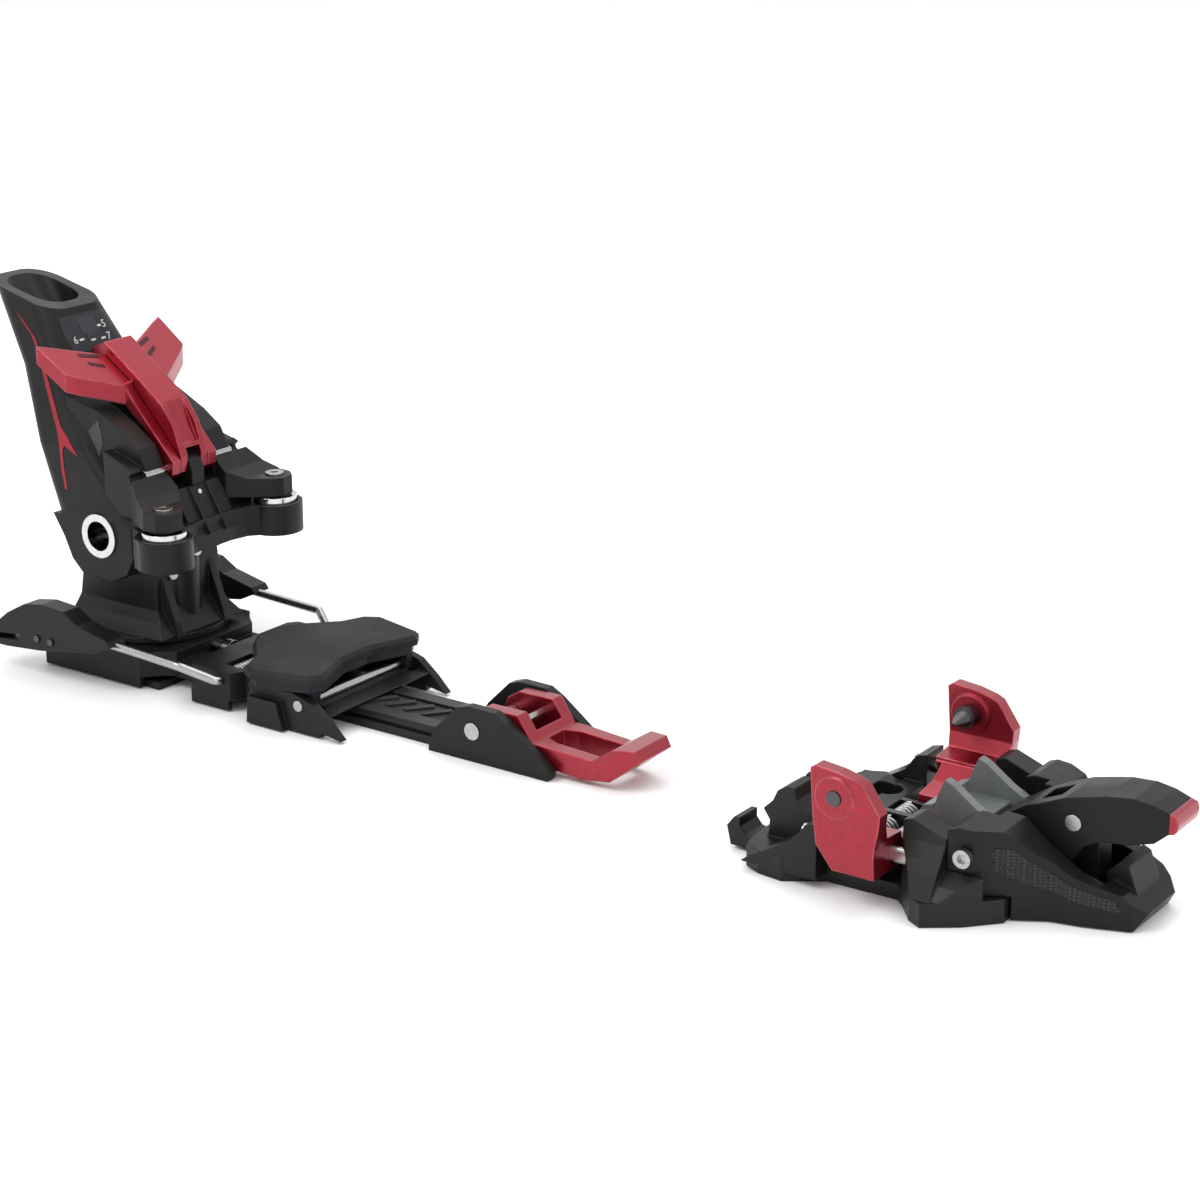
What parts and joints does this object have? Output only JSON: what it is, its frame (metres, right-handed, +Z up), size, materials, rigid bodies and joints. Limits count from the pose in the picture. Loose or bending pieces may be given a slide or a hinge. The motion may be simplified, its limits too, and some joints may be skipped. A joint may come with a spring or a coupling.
{
  "type": "touring ski binding",
  "caption": "Pin-toe touring ski binding with a sliding roller heel, folding climbing aids, brake and walk lever.",
  "frame": {"origin": "on the ski's top surface, midway between the toe pins, at the centre of the toe's four screw holes", "axes": "+X along the ski towards its tip, +Y across the ski to the left, +Z up from the ski's top surface"},
  "size_m": [0.4842, 0.094, 0.1414],
  "materials": {
    "red_anodised": "satin red anodised",
    "black_plastic": "satin moulded",
    "black_alloy": "satin black",
    "pedal_rubber": "fine matt",
    "guide_plastic": "translucent grey",
    "steel": "bright",
    "dark_steel": "hardened, dark",
    "chrome": "polished",
    "spring_steel": "oiled",
    "track_plastic": "textured"
  },
  "bodies": {
    "base": {"toe_base": "black_alloy", "toe_cowl": "black_plastic", "boot_guide": "guide_plastic", "wing_axles": "steel", "cowl_screws": "steel", "toe_springs": "spring_steel", "spring_divider": "dark_steel", "lever_pin": "steel", "heel_rail": "black_alloy", "rack_strip": "track_plastic", "lever_block": "black_plastic", "walk_pin": "steel"},
    "wing_left": {"wing_left": "red_anodised", "toe_pin_left": "dark_steel", "pin_plug_left": "dark_steel"},
    "wing_right": {"wing_right": "red_anodised", "toe_pin_right": "dark_steel", "pin_plug_right": "dark_steel"},
    "toe_lever": {"toe_lever": "black_plastic", "lever_cap": "red_anodised"},
    "walk_lever": {"walk_lever": "red_anodised", "fork_pin": "steel"},
    "carriage": {"carriage": "black_plastic", "length_screw": "steel", "swivel_spindle": "steel", "brake_bracket": "black_plastic", "pedal_pin": "steel", "brake_springs": "spring_steel"},
    "pedal": {"pedal_pad": "pedal_rubber", "pedal_plate": "black_plastic"},
    "brake_arms": {"brake_wire": "steel", "brake_arm_left": "black_plastic", "brake_arm_right": "black_plastic", "arm_rivets": "steel"},
    "tower": {"tower": "black_alloy", "swivel_spring": "spring_steel", "tower_pins": "steel"},
    "heel_housing": {"heel_housing": "black_plastic", "roller_jaw": "black_plastic", "axle_tube": "chrome", "roller_screws": "steel", "release_piston": "dark_steel", "release_spring": "spring_steel", "release_screw": "dark_steel"},
    "roller_left": {"roller_left": "chrome"},
    "roller_right": {"roller_right": "chrome"},
    "high_aid": {"high_aid": "red_anodised"},
    "low_aid": {"low_aid_left": "red_anodised", "low_aid_right": "red_anodised", "aid_pin": "steel"}
  },
  "joints": [
    {"name": "lever_press", "type": "hinge", "parent": "base", "child": "toe_lever", "pos_m": [0.061, 0, 0.0286], "axis": [0, 1, 0], "range_deg": [0, 15]},
    {"name": "wing_right_open", "type": "hinge", "parent": "base", "child": "wing_right", "pos_m": [0, -0.0353, 0.0161], "axis": [1, 0, 0], "range_deg": [0, 18.1]},
    {"name": "wing_left_open", "type": "hinge", "parent": "base", "child": "wing_left", "pos_m": [0, 0.0353, 0.0161], "axis": [-1, 0, 0], "range_deg": [0, 18.1]},
    {"name": "walk_slide", "type": "slide", "parent": "base", "child": "carriage", "axis": [-1, 0, 0], "range_m": [0, 0.033]},
    {"name": "walk_lift", "type": "hinge", "parent": "base", "child": "walk_lever", "pos_m": [-0.1594, 0, 0.0111], "axis": [0, -1, 0], "range_deg": [0, 100.5]},
    {"name": "tower_swivel", "type": "hinge", "parent": "carriage", "child": "tower", "pos_m": [-0.323, 0, 0.016], "axis": [0, 0, 1], "range_deg": [-30, 30], "stiffness_Nm_per_rad": 5},
    {"name": "housing_tilt", "type": "hinge", "parent": "tower", "child": "heel_housing", "pos_m": [-0.323, 0, 0.0552], "axis": [0, -1, 0], "range_deg": [0, 26]},
    {"name": "high_aid_flip", "type": "hinge", "parent": "heel_housing", "child": "high_aid", "pos_m": [-0.304, 0, 0.08], "axis": [0, 1, 0], "range_deg": [0, 80]},
    {"name": "low_aid_flip", "type": "hinge", "parent": "heel_housing", "child": "low_aid", "pos_m": [-0.304, 0, 0.08], "axis": [0, 1, 0], "range_deg": [0, 115]},
    {"name": "roller_left_spin", "type": "hinge", "parent": "heel_housing", "child": "roller_left", "pos_m": [-0.288, 0.0297, 0.0605], "axis": [0, 0, 1], "continuous": true},
    {"name": "roller_right_spin", "type": "hinge", "parent": "heel_housing", "child": "roller_right", "pos_m": [-0.288, -0.0297, 0.0605], "axis": [0, 0, 1], "continuous": true},
    {"name": "brake_swing", "type": "hinge", "parent": "carriage", "child": "brake_arms", "pos_m": [-0.264, 0, 0.0116], "axis": [0, -1, 0], "range_deg": [0, 70]},
    {"name": "pedal_lift", "type": "hinge", "parent": "carriage", "child": "pedal", "pos_m": [-0.2257, 0, 0.0104], "axis": [0, 1, 0], "range_deg": [0, 20.1]}
  ],
  "couplings": [
    {"joint": "wing_right_open", "follows": "lever_press", "ratio": 1.2},
    {"joint": "wing_left_open", "follows": "lever_press", "ratio": 1.2},
    {"joint": "walk_lift", "follows": "walk_slide", "rad_per_m": 52.8},
    {"joint": "pedal_lift", "follows": "brake_swing", "ratio": 0.286}
  ]
}
